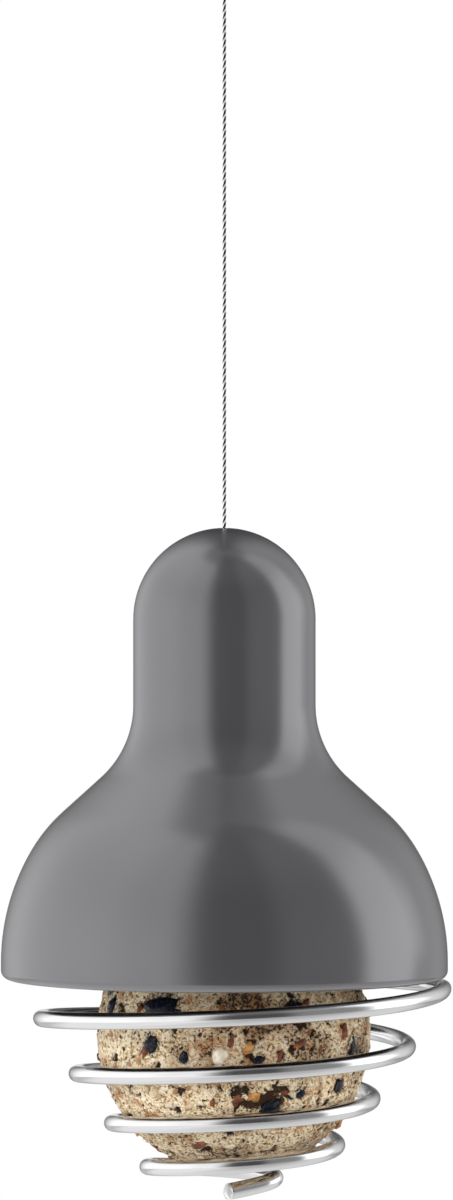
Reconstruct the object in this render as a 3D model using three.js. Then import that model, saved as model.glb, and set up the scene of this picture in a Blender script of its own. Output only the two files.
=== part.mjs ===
// Hanging bird feeder: a glazed bell slides on a steel wire rope and roofs over a conical coil
// of steel wire that holds one fat ball.
//
// Millimetres, +Z up, +X to the right and -Y towards the viewer. The origin is the inner top of
// the hanging loop, where a hook carries the feeder. The rope runs straight down the Z axis.
import * as THREE from "three";

// Wire rope
const ROPE_DIAMETER = 1;
const ROPE_SPACING = 1.3;
const ROPE_SIDES = 8;
const ROPE_FREE_LENGTH = 132;
const ROPE_STEPS = 24;
const SWING_GAP = 0.4;

// Loop at the top of the rope
const TOP_LOOP_RADIUS = 7;
const TOP_LOOP_HEIGHT = 28;
const TOP_LOOP_SHOULDER = 9;

// Loop at the foot of the rope, round the eye of the coil
const FOOT_LOOP_RADIUS = 4.4;
const FOOT_LOOP_HEIGHT = 12;
const FOOT_LOOP_SHOULDER = 3.5;
const LOOP_STEPS = 10;

// Crimped ferrules
const FERRULE_LENGTH = 7;
const FERRULE_WALL = 0.8;
const FERRULE_ROPE_FIT = 0.15;
const FERRULE_EDGE = 0.25;
const DEAD_END_INSET = 0.5;
const FERRULE_SEGMENTS = 8;

// Stop washer
const WASHER_RADIUS = 6;
const WASHER_THICKNESS = 1.2;
const WASHER_HOLE_RADIUS = 0.9;
const WASHER_CHAMFER = 0.3;
const WASHER_SEGMENTS = 32;

// Bell, outer profile from the apex down
const BELL_WALL = 4;
const BELL_HOLE_RADIUS = 1.1;
const NECK_RADIUS = 21.9;
const NECK_DEPTH = 42.5;
const FLARE_RADIUS = 23.3;
const FLARE_ANGLE = THREE.MathUtils.degToRad(48);
const SHOULDER_RADIUS = 39.6;
const SKIRT_ANGLE = THREE.MathUtils.degToRad(30);
const SKIRT_RADIUS = 53;
const SKIRT_STRAIGHT = 1.9;
const RIM_RADIUS = 53.6;
const BELL_SEGMENTS = 48;
const DOME_STEPS = 9;
const FLARE_STEPS = 6;
const SHOULDER_STEPS = 3;
const SKIRT_STEPS = 5;
const RIM_STEPS = 6;

// Coil of wire
const WIRE_DIAMETER = 4;
const WIRE_SIDES = 12;
const COIL_OFFSET = 2.2;
const COIL_TOP_RADIUS = 50.3;
const COIL_TAPER = 8.5;
const COIL_PITCH = 14.6;
const COIL_CLOSING = 0.68;
const COIL_TURNS = 3.5;
const COIL_STEPS = 28;

// Tail at the bottom of the coil
const TAIL_REACH = 10;
const TAIL_DEPTH = 3;
const TAIL_DROP = 3;
const TAIL_END_DROP = 2.4;
const TAIL_LENGTH = 13;
const TAIL_HEADING = THREE.MathUtils.degToRad(30);
const TAIL_STEPS = 9;

// Handles of the tail's two curves, as shares of the lengths that they belong to
const TAIL_LEAD_SHARE = 0.5;
const BEND_LEAD_SHARE = 1 / 3;
const CURL_LEAD_SHARE = 1.1;
const COIL_LEAD_SHARE = 0.75;
const END_SLOPE_SHARE = 1 / 3;
const BEND_SLOPE_SHARE = 0.25;

// Hanger that climbs the inside of the bell to the eye
const HANGER_INSET = 2.2;
const HANGER_ENTRY_ANGLE = THREE.MathUtils.degToRad(66);
const HANGER_ENTRY_STATIONS = 4;
const HANGER_CLIMB_ANGLE = THREE.MathUtils.degToRad(98);
const HANGER_SHOULDER_ANGLE = THREE.MathUtils.degToRad(136);
const HANGER_FLARE_ANGLE = THREE.MathUtils.degToRad(166);
const HANGER_CLIMB = 8;
const HANGER_STEPS = 40;
const EYE_RADIUS = 4.8;
const EYE_SWEEP = THREE.MathUtils.degToRad(285);
const EYE_STEPS = 20;

// Fat ball
const BALL_RADIUS = 33;
const BALL_SEGMENTS = 36;
const BALL_RINGS = 22;

// Clearances between pieces that rest on each other, and between the coil and the rim over it
const SEAT_GAP = 0.3;
const RIM_GAP = 0.45;

// Sampling for the report on the wire's least gap to itself, and the stretch that it leaves out
const GAP_SAMPLES = 1400;
const GAP_SKIP_RADII = 8;

const ropeRadius = ROPE_DIAMETER / 2;
const wireRadius = WIRE_DIAMETER / 2;

// Heights, from the hanging point down
const topFerruleTop = -TOP_LOOP_HEIGHT;
const topFerruleFoot = topFerruleTop - FERRULE_LENGTH;
const apexZ = topFerruleFoot - ROPE_FREE_LENGTH;
const domeZ = apexZ - NECK_RADIUS;
const flareZ = apexZ - NECK_DEPTH;

// Centres of the bell's tangent arcs, as radius and height
const flareCentre = { r: NECK_RADIUS + FLARE_RADIUS, z: flareZ };
const flareEnd = {
  r: flareCentre.r - FLARE_RADIUS * Math.cos(FLARE_ANGLE),
  z: flareCentre.z - FLARE_RADIUS * Math.sin(FLARE_ANGLE),
};
const shoulderWidth = SHOULDER_RADIUS * (Math.cos(SKIRT_ANGLE) - Math.cos(FLARE_ANGLE));
const skirtWidth = SKIRT_RADIUS * (1 - Math.cos(SKIRT_ANGLE));
const coneWidth = RIM_RADIUS - flareEnd.r - shoulderWidth - skirtWidth;
const coneFootZ = flareEnd.z - coneWidth / Math.tan(FLARE_ANGLE);
const shoulderCentre = {
  r: RIM_RADIUS - skirtWidth - SHOULDER_RADIUS * Math.cos(SKIRT_ANGLE),
  z: coneFootZ - SHOULDER_RADIUS * Math.sin(FLARE_ANGLE),
};
const skirtCentre = {
  r: RIM_RADIUS - SKIRT_RADIUS,
  z: shoulderCentre.z + (SHOULDER_RADIUS - SKIRT_RADIUS) * Math.sin(SKIRT_ANGLE),
};
const rimZ = skirtCentre.z - SKIRT_STRAIGHT - BELL_WALL / 2;

// The washer's upper edge bears on the inside of the dome, and the ferrule carries the washer
const innerDomeRadius = NECK_RADIUS - BELL_WALL;
const washerSeat = Math.sqrt(innerDomeRadius ** 2 - WASHER_RADIUS ** 2);
const washerTop = domeZ + washerSeat - SEAT_GAP;
const footFerruleTop = washerTop - WASHER_THICKNESS - SEAT_GAP;
const footFerruleFoot = footFerruleTop - FERRULE_LENGTH;

// The eye hangs in the rope's foot loop
const footLoopZ = footFerruleFoot - FOOT_LOOP_HEIGHT;
const eyeZ = footLoopZ + ropeRadius + SEAT_GAP + wireRadius - EYE_RADIUS;
const coilTopZ = rimZ - RIM_GAP - wireRadius;

const glaze = new THREE.MeshStandardMaterial({ color: 0x6f6f71, roughness: 0.4, metalness: 0 });
const wireSteel = new THREE.MeshStandardMaterial({ color: 0xc9cacb, roughness: 0.25, metalness: 1 });
const ropeSteel = new THREE.MeshStandardMaterial({ color: 0xa9aaab, roughness: 0.35, metalness: 1 });
const ferruleMetal = new THREE.MeshStandardMaterial({ color: 0xbcbdbe, roughness: 0.4, metalness: 1 });
const fatAndSeed = new THREE.MeshStandardMaterial({ color: 0xb79f7a, roughness: 0.9, metalness: 0 });

function named(name, geometry, material) {
  const mesh = new THREE.Mesh(geometry, material);
  mesh.name = name;
  return mesh;
}

function arc(centre, radius, from, to, steps) {
  const points = [];
  for (let i = 0; i <= steps; i += 1) {
    const angle = from + ((to - from) * i) / steps;
    const r = centre.r + radius * Math.cos(angle);
    points.push(new THREE.Vector2(r, centre.z + radius * Math.sin(angle)));
  }
  return points;
}

// One wall of the bell from the hole to the rim, moved inwards by inset
function bellWall(inset) {
  const domeRadius = NECK_RADIUS - inset;
  const holeAngle = Math.acos(BELL_HOLE_RADIUS / domeRadius);
  const flareRadius = FLARE_RADIUS + inset;
  const shoulderRadius = SHOULDER_RADIUS - inset;
  const skirtRadius = SKIRT_RADIUS - inset;
  const dome = arc({ r: 0, z: domeZ }, domeRadius, holeAngle, 0, DOME_STEPS);
  const flare = arc(flareCentre, flareRadius, Math.PI, Math.PI + FLARE_ANGLE, FLARE_STEPS);
  const shoulder = arc(shoulderCentre, shoulderRadius, FLARE_ANGLE, SKIRT_ANGLE, SHOULDER_STEPS);
  const skirt = arc(skirtCentre, skirtRadius, SKIRT_ANGLE, 0, SKIRT_STEPS);
  return [...dome, ...flare, ...shoulder, ...skirt.slice(1)];
}

function revolved(profile, segments) {
  const geometry = new THREE.LatheGeometry(profile, segments);
  return geometry.rotateX(Math.PI / 2);
}

function bellGeometry() {
  const halfWall = BELL_WALL / 2;
  const rimCentre = { r: RIM_RADIUS - halfWall, z: rimZ + halfWall };
  const rimRound = arc(rimCentre, halfWall, 0, -Math.PI, RIM_STEPS);
  const outer = bellWall(0);
  const inner = bellWall(BELL_WALL).reverse();
  const profile = [...outer, ...rimRound, ...inner, outer[0].clone()];
  return revolved(profile.reverse(), BELL_SEGMENTS);
}

function washerGeometry() {
  const foot = washerTop - WASHER_THICKNESS;
  const profile = [
    new THREE.Vector2(WASHER_HOLE_RADIUS, foot),
    new THREE.Vector2(WASHER_RADIUS - WASHER_CHAMFER, foot),
    new THREE.Vector2(WASHER_RADIUS, foot + WASHER_CHAMFER),
    new THREE.Vector2(WASHER_RADIUS, washerTop - WASHER_CHAMFER),
    new THREE.Vector2(WASHER_RADIUS - WASHER_CHAMFER, washerTop),
    new THREE.Vector2(WASHER_HOLE_RADIUS, washerTop),
    new THREE.Vector2(WASHER_HOLE_RADIUS, foot),
  ];
  return revolved(profile, WASHER_SEGMENTS);
}

// A round bar along points, with one ring of vertices at each point
function roundBar(points, radius, sides) {
  const path = new THREE.CatmullRomCurve3(points);
  path.getUtoTmapping = (u) => u;
  const section = new THREE.Shape();
  for (let i = 0; i < sides; i += 1) {
    const angle = (2 * Math.PI * i) / sides;
    const corner = [radius * Math.cos(angle), radius * Math.sin(angle)];
    if (i === 0) section.moveTo(...corner);
    else section.lineTo(...corner);
  }
  return new THREE.ExtrudeGeometry(section, { steps: points.length - 1, extrudePath: path });
}

function bezier(start, leave, arrive, end, steps) {
  return new THREE.CubicBezierCurve3(start, leave, arrive, end).getPoints(steps);
}

// A closed drop of rope from the live strand round to the dead end. Its bend has its centre at
// bendZ, rise is +1 for a loop above the ferrule and -1 for one below, and across is the
// horizontal direction that the loop opens in.
function ropeLoop(across, mouthZ, bendZ, radius, shoulder, rise) {
  const at = (offset, z) => across.clone().multiplyScalar(offset).setZ(z);
  const mouthLead = mouthZ + rise * shoulder;
  const bendLead = bendZ - rise * shoulder;
  const out = bezier(at(0, mouthZ), at(0, mouthLead), at(-radius, bendLead), at(-radius, bendZ), LOOP_STEPS);
  const bend = [];
  for (let i = 1; i < LOOP_STEPS; i += 1) {
    const angle = Math.PI * (1 - i / LOOP_STEPS);
    bend.push(at(radius * Math.cos(angle), bendZ + rise * radius * Math.sin(angle)));
  }
  const dead = [at(ROPE_SPACING, mouthLead), at(ROPE_SPACING, mouthZ)];
  const back = bezier(at(radius, bendZ), at(radius, bendLead), ...dead, LOOP_STEPS);
  return [...out, ...bend, ...back];
}

function topLoopGeometry() {
  const across = new THREE.Vector3(1, 0, 0);
  const bendZ = ropeRadius - TOP_LOOP_RADIUS;
  const loop = ropeLoop(across, topFerruleTop, bendZ, TOP_LOOP_RADIUS, TOP_LOOP_SHOULDER, 1);
  const liveFoot = new THREE.Vector3(0, 0, topFerruleFoot);
  const deadFoot = new THREE.Vector3(ROPE_SPACING, 0, topFerruleFoot + DEAD_END_INSET);
  return roundBar([liveFoot, ...loop, deadFoot], ropeRadius, ROPE_SIDES);
}

// The hanging rope with its foot loop, as one length
function hangingRopeGeometry() {
  const across = new THREE.Vector3(0, 1, 0);
  const bendZ = footLoopZ + FOOT_LOOP_RADIUS;
  const loop = ropeLoop(across, footFerruleFoot, bendZ, FOOT_LOOP_RADIUS, FOOT_LOOP_SHOULDER, -1);
  const ropeTop = topFerruleFoot - SWING_GAP;
  const run = [];
  for (let i = 0; i < ROPE_STEPS; i += 1) {
    run.push(new THREE.Vector3(0, 0, ropeTop + ((footFerruleFoot - ropeTop) * i) / ROPE_STEPS));
  }
  const deadTop = new THREE.Vector3(0, ROPE_SPACING, footFerruleTop - DEAD_END_INSET);
  return roundBar([...run, ...loop, deadTop], ropeRadius, ROPE_SIDES);
}

// Straight sides with round ends, about two centres that lie spacing apart along X
function stadium(shape, spacing, radius) {
  shape.absarc(spacing, 0, radius, -Math.PI / 2, Math.PI / 2, false);
  shape.absarc(0, 0, radius, Math.PI / 2, (3 * Math.PI) / 2, false);
  shape.closePath();
  return shape;
}

// A flat-sided sleeve over the live strand at the origin and the dead end beside it
function ferruleGeometry(footZ) {
  const boreRadius = ropeRadius + FERRULE_ROPE_FIT;
  const outerRadius = boreRadius + FERRULE_WALL - FERRULE_EDGE;
  const sleeve = stadium(new THREE.Shape(), ROPE_SPACING, outerRadius);
  sleeve.holes.push(stadium(new THREE.Path(), ROPE_SPACING, boreRadius + FERRULE_EDGE));
  const geometry = new THREE.ExtrudeGeometry(sleeve, {
    depth: FERRULE_LENGTH - 2 * FERRULE_EDGE,
    bevelThickness: FERRULE_EDGE,
    bevelSize: FERRULE_EDGE,
    bevelSegments: 1,
    curveSegments: FERRULE_SEGMENTS,
  });
  return geometry.translate(0, 0, footZ + FERRULE_EDGE);
}

// Points on the coil's centreline, from turn zero at the rim down
function coilPoint(turn) {
  const radius = COIL_TOP_RADIUS - COIL_TAPER * turn;
  const angle = -2 * Math.PI * turn;
  const x = COIL_OFFSET + radius * Math.cos(angle);
  const drop = COIL_PITCH * turn - COIL_CLOSING * turn * turn;
  return new THREE.Vector3(x, radius * Math.sin(angle), coilTopZ - drop);
}

function coilPoints() {
  const points = [];
  const steps = Math.round(COIL_STEPS * COIL_TURNS);
  for (let i = steps; i >= 0; i -= 1) {
    points.push(coilPoint((COIL_TURNS * i) / steps));
  }
  return points;
}

// The last bend under the ball, from the cut end up to the coil
function tailPoints() {
  const coilEnd = coilPoint(COIL_TURNS);
  const coilRadius = COIL_TOP_RADIUS - COIL_TAPER * COIL_TURNS;
  const bend = new THREE.Vector3(COIL_OFFSET + TAIL_REACH, TAIL_DEPTH, coilEnd.z - TAIL_DROP);
  const heading = new THREE.Vector3(-Math.cos(TAIL_HEADING), -Math.sin(TAIL_HEADING), 0);
  const end = bend.clone().addScaledVector(heading, TAIL_LENGTH);
  end.y -= TAIL_DEPTH;
  end.z -= TAIL_END_DROP;
  const endLead = end.clone().addScaledVector(heading, -TAIL_LENGTH * TAIL_LEAD_SHARE);
  endLead.z += TAIL_END_DROP * END_SLOPE_SHARE;
  const bendOut = bend.clone();
  bendOut.y -= TAIL_LENGTH * BEND_LEAD_SHARE;
  bendOut.z -= TAIL_END_DROP * BEND_SLOPE_SHARE;
  const bendIn = bend.clone();
  bendIn.y += TAIL_REACH * CURL_LEAD_SHARE;
  bendIn.z += TAIL_DROP * BEND_SLOPE_SHARE;
  const coilOut = coilEnd.clone();
  coilOut.y += coilRadius * COIL_LEAD_SHARE;
  coilOut.z -= TAIL_DROP * END_SLOPE_SHARE;
  const tail = bezier(end, endLead, bendOut, bend, TAIL_STEPS);
  const turn = bezier(bend, bendIn, coilOut, coilEnd, 2 * TAIL_STEPS);
  return [...tail, ...turn.slice(1, -1)];
}

function aroundAxis(angle, radius, z) {
  return new THREE.Vector3(radius * Math.cos(angle), radius * Math.sin(angle), z);
}

// From the top of the coil, in under the rim, up along the inside of the bell and round the eye
function hangerPoints() {
  const inset = BELL_WALL + HANGER_INSET + wireRadius;
  const entryRadius = RIM_RADIUS - inset;
  const shoulderRadius = SHOULDER_RADIUS - inset;
  const shoulderR = shoulderCentre.r + shoulderRadius * Math.cos(SKIRT_ANGLE);
  const shoulderZ = shoulderCentre.z + shoulderRadius * Math.sin(SKIRT_ANGLE);
  const flareRadius = FLARE_RADIUS + inset;
  const flareR = (angle) => flareCentre.r - flareRadius * Math.cos(angle);
  const flareHeight = (angle) => flareCentre.z - flareRadius * Math.sin(angle);
  const midFlare = FLARE_ANGLE / 2;
  const coilTop = coilPoint(0);
  const entry = [];
  for (let i = 1; i <= HANGER_ENTRY_STATIONS; i += 1) {
    const share = i / HANGER_ENTRY_STATIONS;
    const radius = THREE.MathUtils.lerp(coilTop.x, entryRadius, THREE.MathUtils.smoothstep(share, 0, 1));
    entry.push(aroundAxis(HANGER_ENTRY_ANGLE * share, radius, coilTopZ));
  }
  const stations = [
    coilPoint(1 / COIL_STEPS),
    coilTop,
    ...entry,
    aroundAxis(HANGER_CLIMB_ANGLE, entryRadius, coilTopZ + HANGER_CLIMB),
    aroundAxis(HANGER_SHOULDER_ANGLE, shoulderR, shoulderZ),
    aroundAxis(HANGER_FLARE_ANGLE, flareR(FLARE_ANGLE), flareHeight(FLARE_ANGLE)),
    aroundAxis(Math.PI, flareR(midFlare), flareHeight(midFlare)),
    aroundAxis(Math.PI, EYE_RADIUS, eyeZ),
    aroundAxis(Math.PI, EYE_RADIUS, eyeZ + EYE_RADIUS),
  ];
  const climb = new THREE.CatmullRomCurve3(stations);
  const points = [];
  const from = 1 / (stations.length - 1);
  const to = 1 - from;
  for (let i = 1; i < HANGER_STEPS; i += 1) {
    points.push(climb.getPoint(from + ((to - from) * i) / HANGER_STEPS));
  }
  for (let i = 0; i <= EYE_STEPS; i += 1) {
    const angle = (EYE_SWEEP * i) / EYE_STEPS;
    const x = -EYE_RADIUS * Math.cos(angle);
    points.push(new THREE.Vector3(x, 0, eyeZ + EYE_RADIUS * Math.sin(angle)));
  }
  return points;
}

// Least free distance between stretches of one bar that lie apart along it
function leastGap(points, radius) {
  const dense = new THREE.CatmullRomCurve3(points).getSpacedPoints(GAP_SAMPLES);
  const skip = Math.ceil((GAP_SKIP_RADII * radius) / dense[0].distanceTo(dense[1]));
  let least = Infinity;
  for (let i = 0; i < dense.length; i += 1) {
    for (let j = i + skip; j < dense.length; j += 1) {
      least = Math.min(least, dense[i].distanceTo(dense[j]));
    }
  }
  return least - 2 * radius;
}

const wirePoints = [...tailPoints(), ...coilPoints(), ...hangerPoints()];
console.log(`least gap of the coil wire to itself: ${leastGap(wirePoints, wireRadius).toFixed(2)} mm`);

// The ball sinks into the coil until it lies on the wire
function ballCentreZ() {
  const reach = BALL_RADIUS + wireRadius + SEAT_GAP;
  let centre = -Infinity;
  for (const point of [...tailPoints(), ...coilPoints()]) {
    const radius = Math.hypot(point.x - COIL_OFFSET, point.y);
    if (radius < reach) {
      centre = Math.max(centre, point.z + Math.sqrt(reach ** 2 - radius ** 2));
    }
  }
  return centre;
}

function ballGeometry() {
  const geometry = new THREE.SphereGeometry(BALL_RADIUS, BALL_SEGMENTS, BALL_RINGS);
  return geometry.rotateX(Math.PI / 2);
}

const feeder = new THREE.Group();

const fatBall = named("fat_ball", ballGeometry(), fatAndSeed);
fatBall.position.set(COIL_OFFSET, 0, ballCentreZ());

const topFerrule = named("top_ferrule", ferruleGeometry(topFerruleFoot), ferruleMetal);
const footFerrule = named("foot_ferrule", ferruleGeometry(footFerruleFoot), ferruleMetal);
footFerrule.rotation.z = Math.PI / 2;

feeder.add(
  named("top_loop", topLoopGeometry(), ropeSteel),
  topFerrule,
  named("hanging_rope", hangingRopeGeometry(), ropeSteel),
  footFerrule,
  named("stop_washer", washerGeometry(), ferruleMetal),
  named("bell", bellGeometry(), glaze),
  named("coil", roundBar(wirePoints, wireRadius, WIRE_SIDES), wireSteel),
  fatBall,
);

export default feeder;
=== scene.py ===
"""Looks of a hanging bird feeder: a glazed bell slides on a wire rope and roofs over a coil of steel
wire that holds one fat ball.

Metres, +Z up, +X to the right and -Y towards the camera. The origin is the inner top of the loop.
"""

import functools
import math
import random

import bmesh
import bpy
from mathutils import Matrix, Vector, geometry, kdtree, noise


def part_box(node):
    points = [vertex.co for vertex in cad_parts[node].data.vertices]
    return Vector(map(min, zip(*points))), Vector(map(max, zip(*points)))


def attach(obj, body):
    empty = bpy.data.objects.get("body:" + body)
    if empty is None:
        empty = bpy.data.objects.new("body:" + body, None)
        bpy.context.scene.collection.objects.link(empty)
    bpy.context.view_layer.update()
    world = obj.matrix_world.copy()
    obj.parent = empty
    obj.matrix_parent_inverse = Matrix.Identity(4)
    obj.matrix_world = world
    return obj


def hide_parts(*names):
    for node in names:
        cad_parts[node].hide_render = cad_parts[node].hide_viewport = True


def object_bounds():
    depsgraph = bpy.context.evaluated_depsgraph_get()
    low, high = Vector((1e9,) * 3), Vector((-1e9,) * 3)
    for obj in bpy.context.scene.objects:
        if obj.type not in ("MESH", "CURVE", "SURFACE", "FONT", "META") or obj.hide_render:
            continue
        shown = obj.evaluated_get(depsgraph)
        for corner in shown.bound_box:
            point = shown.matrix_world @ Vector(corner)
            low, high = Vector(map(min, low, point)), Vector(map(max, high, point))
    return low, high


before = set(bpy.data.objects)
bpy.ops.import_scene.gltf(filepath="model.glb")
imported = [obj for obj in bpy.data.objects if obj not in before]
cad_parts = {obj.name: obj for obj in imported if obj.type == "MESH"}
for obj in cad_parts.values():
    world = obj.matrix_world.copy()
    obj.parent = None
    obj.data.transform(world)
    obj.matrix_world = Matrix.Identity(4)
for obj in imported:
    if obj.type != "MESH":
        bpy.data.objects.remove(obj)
cad_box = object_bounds()

MM = 0.001
UP = Vector((0, 0, 1))

# Camera, level with the bell's neck
CAMERA_DISTANCE = 1.33
CAMERA_RIGHT = 0.5 * MM
CAMERA_BELOW_APEX = 17.3 * MM
VIEW_HEIGHT = 0.288
SENSOR = 36

# Wire rope: three strands twisted together
ROPE_DIAMETER = 1 * MM
ROPE_SPACING = 1.3 * MM
ROPE_LAY = 5.04 * MM
ROPE_STRANDS = 3
STRAND_REACH = ROPE_DIAMETER / (2 + math.sqrt(3))
STRAND_RADIUS = ROPE_DIAMETER / 2 - STRAND_REACH
STRAND_SIDES = 14
ROPE_STEP = 0.4 * MM
ROPE_TO_DOME = 132 * MM
SWING_GAP = 0.4 * MM
DEAD_END_INSET = 0.5 * MM

# Loops of the rope, each with the side of the live strand that its dead end lies on
TOP_LOOP_SIDE = Vector((1, 0, 0))
FOOT_LOOP_SIDE = Vector((0, 1, 0))
TOP_LOOP_RADIUS = 7 * MM
TOP_LOOP_SHOULDER = 9 * MM
FOOT_LOOP_RADIUS = 4.4 * MM
FOOT_LOOP_SHOULDER = 3.5 * MM
FOOT_LOOP_HEIGHT = 12 * MM
LOOP_STEPS = 24

# Ferrules
FERRULE_WALL = 0.8 * MM
FERRULE_SIDES = 40
FERRULE_RINGS = 28
FERRULE_GROOVES = 3
FERRULE_SQUEEZE = 0.17
FERRULE_EASE = 6
FERRULE_RECESS = 0.45 * MM
FERRULE_EDGE = 0.12 * MM
SHARP_ANGLE = math.radians(60)
TINY = 0.001 * MM

# Stop washer
WASHER_HOLE_RADIUS = 0.9 * MM
WASHER_EDGE = 0.3 * MM
WASHER_STEPS = 96
WASHER_EDGE_STEPS = 4

# Bell, outer profile from the apex down
BELL_WALL = 4 * MM
BELL_HOLE_RADIUS = 1.1 * MM
BELL_HOLE_EDGE = 0.5 * MM
NECK_RADIUS = 21.9 * MM
NECK_DEPTH = 42.5 * MM
FLARE_RADIUS = 23.3 * MM
FLARE_ANGLE = math.radians(48)
SHOULDER_RADIUS = 39.6 * MM
SKIRT_ANGLE = math.radians(30)
SKIRT_RADIUS = 53 * MM
RIM_RADIUS = 53.6 * MM
BELL_STEPS = 180
HOLE_EDGE_STEPS = 4
DOME_STEPS = 28
FLARE_STEPS = 18
SHOULDER_STEPS = 9
SKIRT_STEPS = 18
RIM_STEPS = 14

# Coil of wire
WIRE_RADIUS = 2 * MM
WIRE_SIDES = 24
WIRE_CHAMFER = 0.35 * MM
COIL_OFFSET = 2.2 * MM
COIL_TOP_RADIUS = 50.3 * MM
COIL_TAPER = 8.5 * MM
COIL_PITCH = 14.6 * MM
COIL_CLOSING = 0.68 * MM
COIL_TURNS = 3.5
COIL_STEPS = 120
RIM_GAP = 0.45 * MM
SEAT_GAP = 0.3 * MM

# Tail of the wire
TAIL_REACH = 10 * MM
TAIL_DEPTH = 3 * MM
TAIL_DROP = 3 * MM
TAIL_END_DROP = 2.4 * MM
TAIL_LENGTH = 13 * MM
TAIL_HEADING = math.radians(30)
TAIL_STEPS = 24
TAIL_LEAD_SHARE = 0.5
BEND_LEAD_SHARE = 1 / 3
CURL_LEAD_SHARE = 1.1
COIL_LEAD_SHARE = 0.75
END_SLOPE_SHARE = 1 / 3
BEND_SLOPE_SHARE = 0.25

# Hanger of the wire, inside the bell
HANGER_INSET = 2.2 * MM
HANGER_LEAD_TURN = 1 / 28
HANGER_ENTRY_ANGLE = math.radians(66)
HANGER_ENTRY_STATIONS = 4
HANGER_CLIMB_ANGLE = math.radians(98)
HANGER_SHOULDER_ANGLE = math.radians(136)
HANGER_FLARE_ANGLE = math.radians(166)
HANGER_CLIMB = 8 * MM
HANGER_STEPS = 150
EYE_RADIUS = 4.8 * MM
EYE_SWEEP = math.radians(285)
EYE_STEPS = 48

# Fat ball
BALL_DIVISIONS = 7
BALL_PROUD = 0.1 * MM
LUMP_SIZE = 7 * MM
LUMP_DEPTH = 0.4 * MM
CRUMB_SIZE = 1.3 * MM
CRUMB_DEPTH = 0.4 * MM
PIT_SIZE = 2.4 * MM
PIT_DEPTH = 1.0 * MM
PIT_EDGES = (0.5, 0.68)
PIT_CLUSTER = 0.6
CLUSTER_SIZE = 8 * MM
CLUSTER_EDGES = (0.2, 0.5)
CREVICE_CORE = 0.3
PIT_SHADE = 0.9
CRUMB_SHADE = 0.3
CRUMB_EDGES = (0.5, 0.85)
SOCKET_DEPTH = 0.2 * MM
SOCKET_CORE = 0.55
SOCKET_EDGE = 0.6 * MM
SOCKET_SHADE = 0.45

# Bits pressed into the ball
RANDOM_SEED = 7
BIT_SIDES = 8
BIT_RINGS = 6
BIT_WIDTHS = (0.85, 1.15)
BIT_ROOM = 0.75
BIT_PROUD = 0.38
BIT_SUNK = 0
JAG_SCALE = 3
JAG_SPREAD = 50
FRONT_LIMIT = 0.3

# Bits that the front of the ball shows: x and z in millimetres, tilt from level in degrees, length
FRONT_SEEDS = [
    (-15, -280.4, 12, 9.6), (-27, -280.4, 60, 4.6), (16.5, -280.1, 10, 6), (-17.4, -288.9, 50, 4.8),
    (-9.7, -291.6, 70, 2.8), (8.1, -292.3, 20, 2.9), (31, -290.6, 80, 6.4), (11.2, -304.1, 25, 6),
    (18.1, -300.7, 50, 2.6), (27.5, -299.5, 70, 4),
]
FRONT_HUSKS = [
    (20.8, -285.6, 50, 4), (13.2, -291.2, 70, 3), (22.8, -290.4, 80, 3), (24, -303.6, 55, 4.4),
    (-2.8, -302.4, 75, 2.6), (14.2, -300.8, 20, 3.6), (7.4, -280.2, 60, 4), (-20.6, -281.6, 80, 3.4),
    (18.9, -279.6, 40, 4.4), (-0.6, -280.3, 80, 3.6), (-19, -290.6, 60, 3.6), (18.1, -288.5, 30, 3.6),
    (28.7, -286.1, 75, 4.2), (3, -302.4, 40, 4.6), (-5.9, -313.4, 30, 4.8), (11.2, -315.1, 15, 5.4),
    (1.5, -287.6, 70, 3.4),
]
FRONT_MAIZE = [(3.5, -280.3, 10, 4), (5.7, -289.2, 25, 4.4), (7.1, -301.2, 30, 4)]
FRONT_NUTS = [(-1.1, -291.1, 60, 4.4), (-13, -303.5, 10, 2.8), (1.5, -313.6, 20, 2.6)]

# Crumbly crevices that the front of the ball shows: x, z and reach in millimetres
FRONT_CREVICES = [
    (20.8, -285.8, 3), (13.3, -291.3, 2.4), (22.8, -290.6, 3), (17.2, -289.4, 3.4), (5, -290.6, 3),
    (-1, -293.2, 2.6), (23.7, -303.7, 4), (14, -301, 3.4), (8.6, -303, 3), (11.5, -315, 3.6),
    (-5, -314.5, 3), (-20, -290, 2.4), (28, -300, 2.6), (-24, -281, 4), (9, -281.5, 5), (-12, -283, 4),
]

# Where the fat is browner and painted shade darkens it: from the left edge to the right edge, and above
# and below a paler band
BROKEN_SHADE_LEFT = (-20 * MM, -4 * MM)
BROKEN_SHADE_RIGHT = (8 * MM, 18 * MM)
BROKEN_SHADE_LOWER = (-309 * MM, -304 * MM)
BROKEN_SHADE_UPPER = (-301 * MM, -294 * MM)

# Fill lamps: name, azimuth in degrees from the camera, and radiance
FILLS = [("front_fill", 0, 1.7), ("left_fill", -66, 2.9), ("right_fill", 62, 2.5)]
FILL_DISTANCE = 1.6
FILL_LEVEL = -0.24
FILL_SIZE = 1.6

# Floor, with the stretches over which painted shade darkens it in a mirror and it fades into the backdrop
FLOOR_BELOW = 0.24
FLOOR_RADIUS = 1.2
FLOOR_SIDES = 96
FLOOR_GREY = 0.6
FLOOR_WHITE = 0.7
FLOOR_FADE = (0.5, 1.15)
SHADE_RIGHT = (-0.3, 0.05)
SHADE_RIGHT_LEVEL = 0.18
SHADE_NEAR = (-0.45, 0.1)
SHADE_NEAR_LEVEL = 0.3
SHADE_FAR = (0.22, 0.6)
SHADE_FAR_LEVEL = 0.42

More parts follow.
